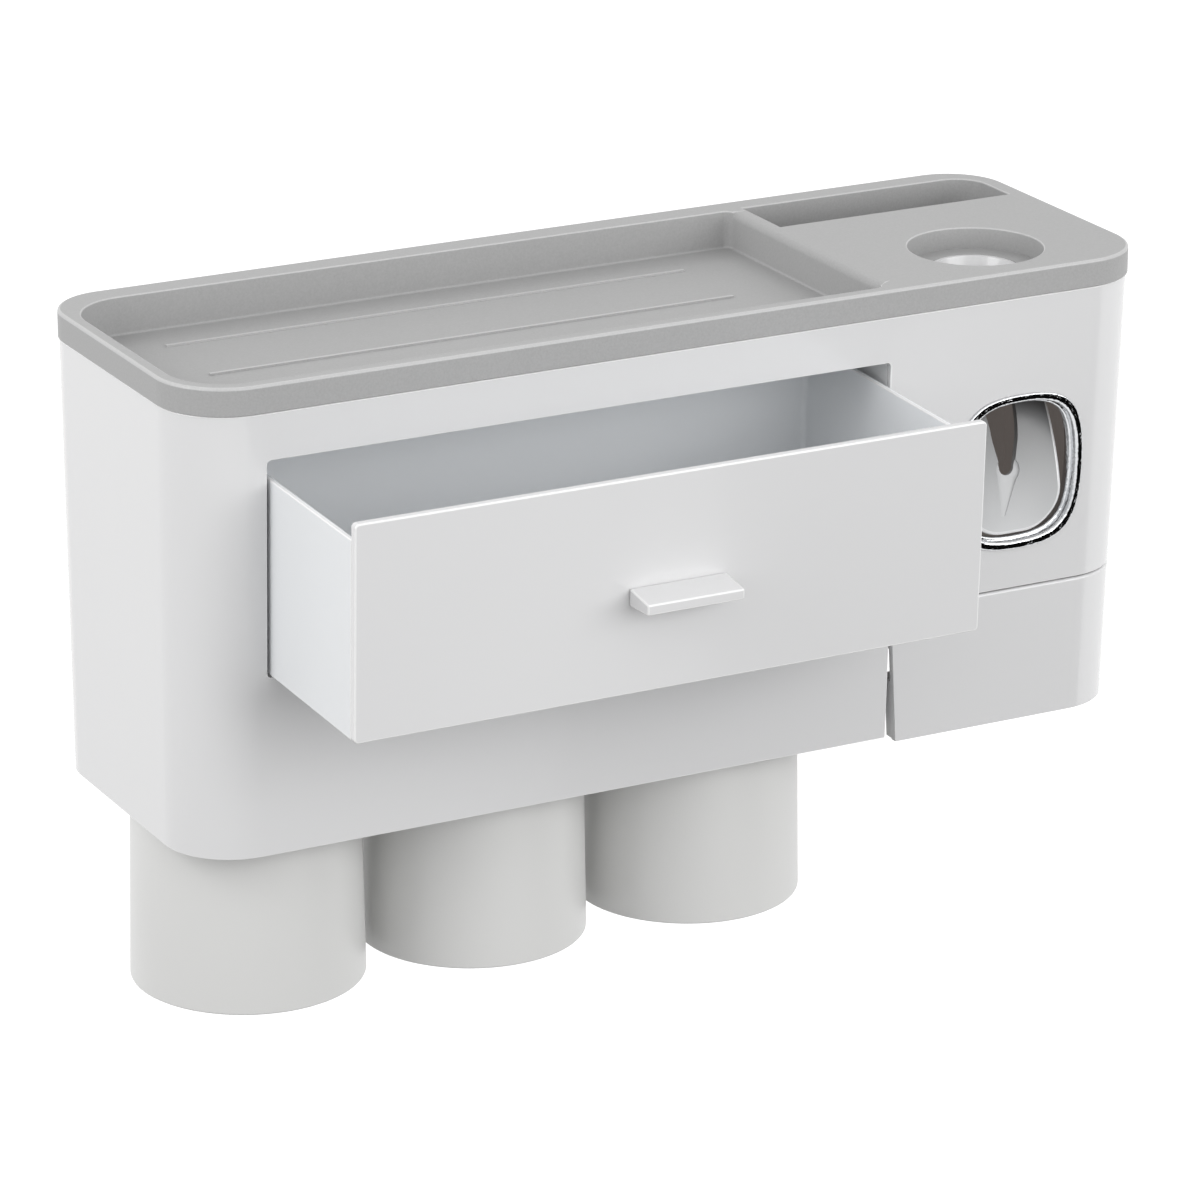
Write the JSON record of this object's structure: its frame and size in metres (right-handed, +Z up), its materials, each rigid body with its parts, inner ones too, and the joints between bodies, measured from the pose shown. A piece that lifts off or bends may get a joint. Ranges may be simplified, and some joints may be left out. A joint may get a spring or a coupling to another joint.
{
  "type": "toothbrush holder",
  "caption": "Wall-hung toothbrush holder with a lift-off top tray, a drawer, hanging cups, a push-lever paste dispenser and a flip-up cover over the brushes.",
  "frame": {"origin": "middle of the adhesive pad's face on the wall", "axes": "+X to the viewer's right along the holder, +Y into the wall, +Z up"},
  "size_m": [0.34, 0.1831, 0.2112],
  "materials": {
    "gloss_white": "gloss moulded ABS, white",
    "inner_white": "satin moulded plastic, white",
    "tray_grey": "fine matte moulded plastic, grey",
    "cup_white": "satin moulded plastic, slightly warm white",
    "case_dark": "satin moulded plastic, near black",
    "lever_grey": "satin moulded plastic, pale grey",
    "bezel_chrome": "polished chrome plating",
    "steel": "plain steel",
    "magnet": "nickel-plated ferrite",
    "silicone": "soft silicone, translucent grey",
    "foam": "closed-cell adhesive foam"
  },
  "bodies": {
    "holder": {"housing": "gloss_white", "back_panel": "inner_white", "partition": "inner_white", "cup_deck": "inner_white", "drawer_bay": "inner_white", "drawer_rail_left": "inner_white", "drawer_rail_right": "inner_white", "pump_body": "inner_white", "tube_socket": "inner_white", "brush_rack": "inner_white", "dispenser_case": "case_dark", "chrome_bezel": "bezel_chrome", "wall_plate": "steel", "back_screw_1": "steel", "back_screw_2": "steel", "back_screw_3": "steel", "back_screw_4": "steel", "rack_screw_1": "steel", "rack_screw_2": "steel", "lever_pin": "steel", "hinge_pin_1": "steel", "hinge_pin_2": "steel", "return_spring": "steel", "deck_magnet_1": "magnet", "deck_magnet_2": "magnet", "deck_magnet_3": "magnet", "socket_seal": "silicone", "nozzle": "silicone", "adhesive_pad": "foam"},
    "tray": {"top_tray": "tray_grey"},
    "drawer": {"drawer_box": "gloss_white", "drawer_front": "gloss_white", "drawer_handle": "gloss_white"},
    "cup_left": {"cup_1": "cup_white", "cup_disc_1": "steel"},
    "cup_middle": {"cup_2": "cup_white", "cup_disc_2": "steel"},
    "cup_right": {"cup_3": "cup_white", "cup_disc_3": "steel"},
    "lever": {"push_lever": "lever_grey"},
    "piston": {"pump_piston": "inner_white"},
    "cover": {"dust_cover": "gloss_white"}
  },
  "joints": [
    {"name": "drawer_slide", "type": "slide", "parent": "holder", "child": "drawer", "axis": [0, -0.9995, -0.0306], "range_m": [-0.0589, 0.015]},
    {"name": "tray_lift", "type": "slide", "parent": "holder", "child": "tray", "axis": [0, 0, 1], "range_m": [0, 0.045]},
    {"name": "cup_left_pull", "type": "slide", "parent": "holder", "child": "cup_left", "axis": [0, 0, -1], "range_m": [0, 0.056]},
    {"name": "cup_middle_pull", "type": "slide", "parent": "holder", "child": "cup_middle", "axis": [0, 0, -1], "range_m": [0, 0.056]},
    {"name": "cup_right_pull", "type": "slide", "parent": "holder", "child": "cup_right", "axis": [0, 0, -1], "range_m": [0, 0.056]},
    {"name": "lever_push", "type": "hinge", "parent": "holder", "child": "lever", "pos_m": [0.122, -0.09282, 0.014], "axis": [1, 0, 0], "range_deg": [0, 12], "stiffness_Nm_per_rad": 0.08, "springref_deg": -5.73},
    {"name": "piston_lift", "type": "slide", "parent": "holder", "child": "piston", "axis": [0, 0, 1], "range_m": [0, 0.0028], "deforming": ["return_spring"]},
    {"name": "cover_swing", "type": "hinge", "parent": "holder", "child": "cover", "pos_m": [0.114, -0.10472, -0.0676], "axis": [-1, 0, 0], "range_deg": [0, 90]}
  ],
  "couplings": [
    {"joint": "piston_lift", "follows": "lever_push", "m_per_rad": 0.0129}
  ]
}
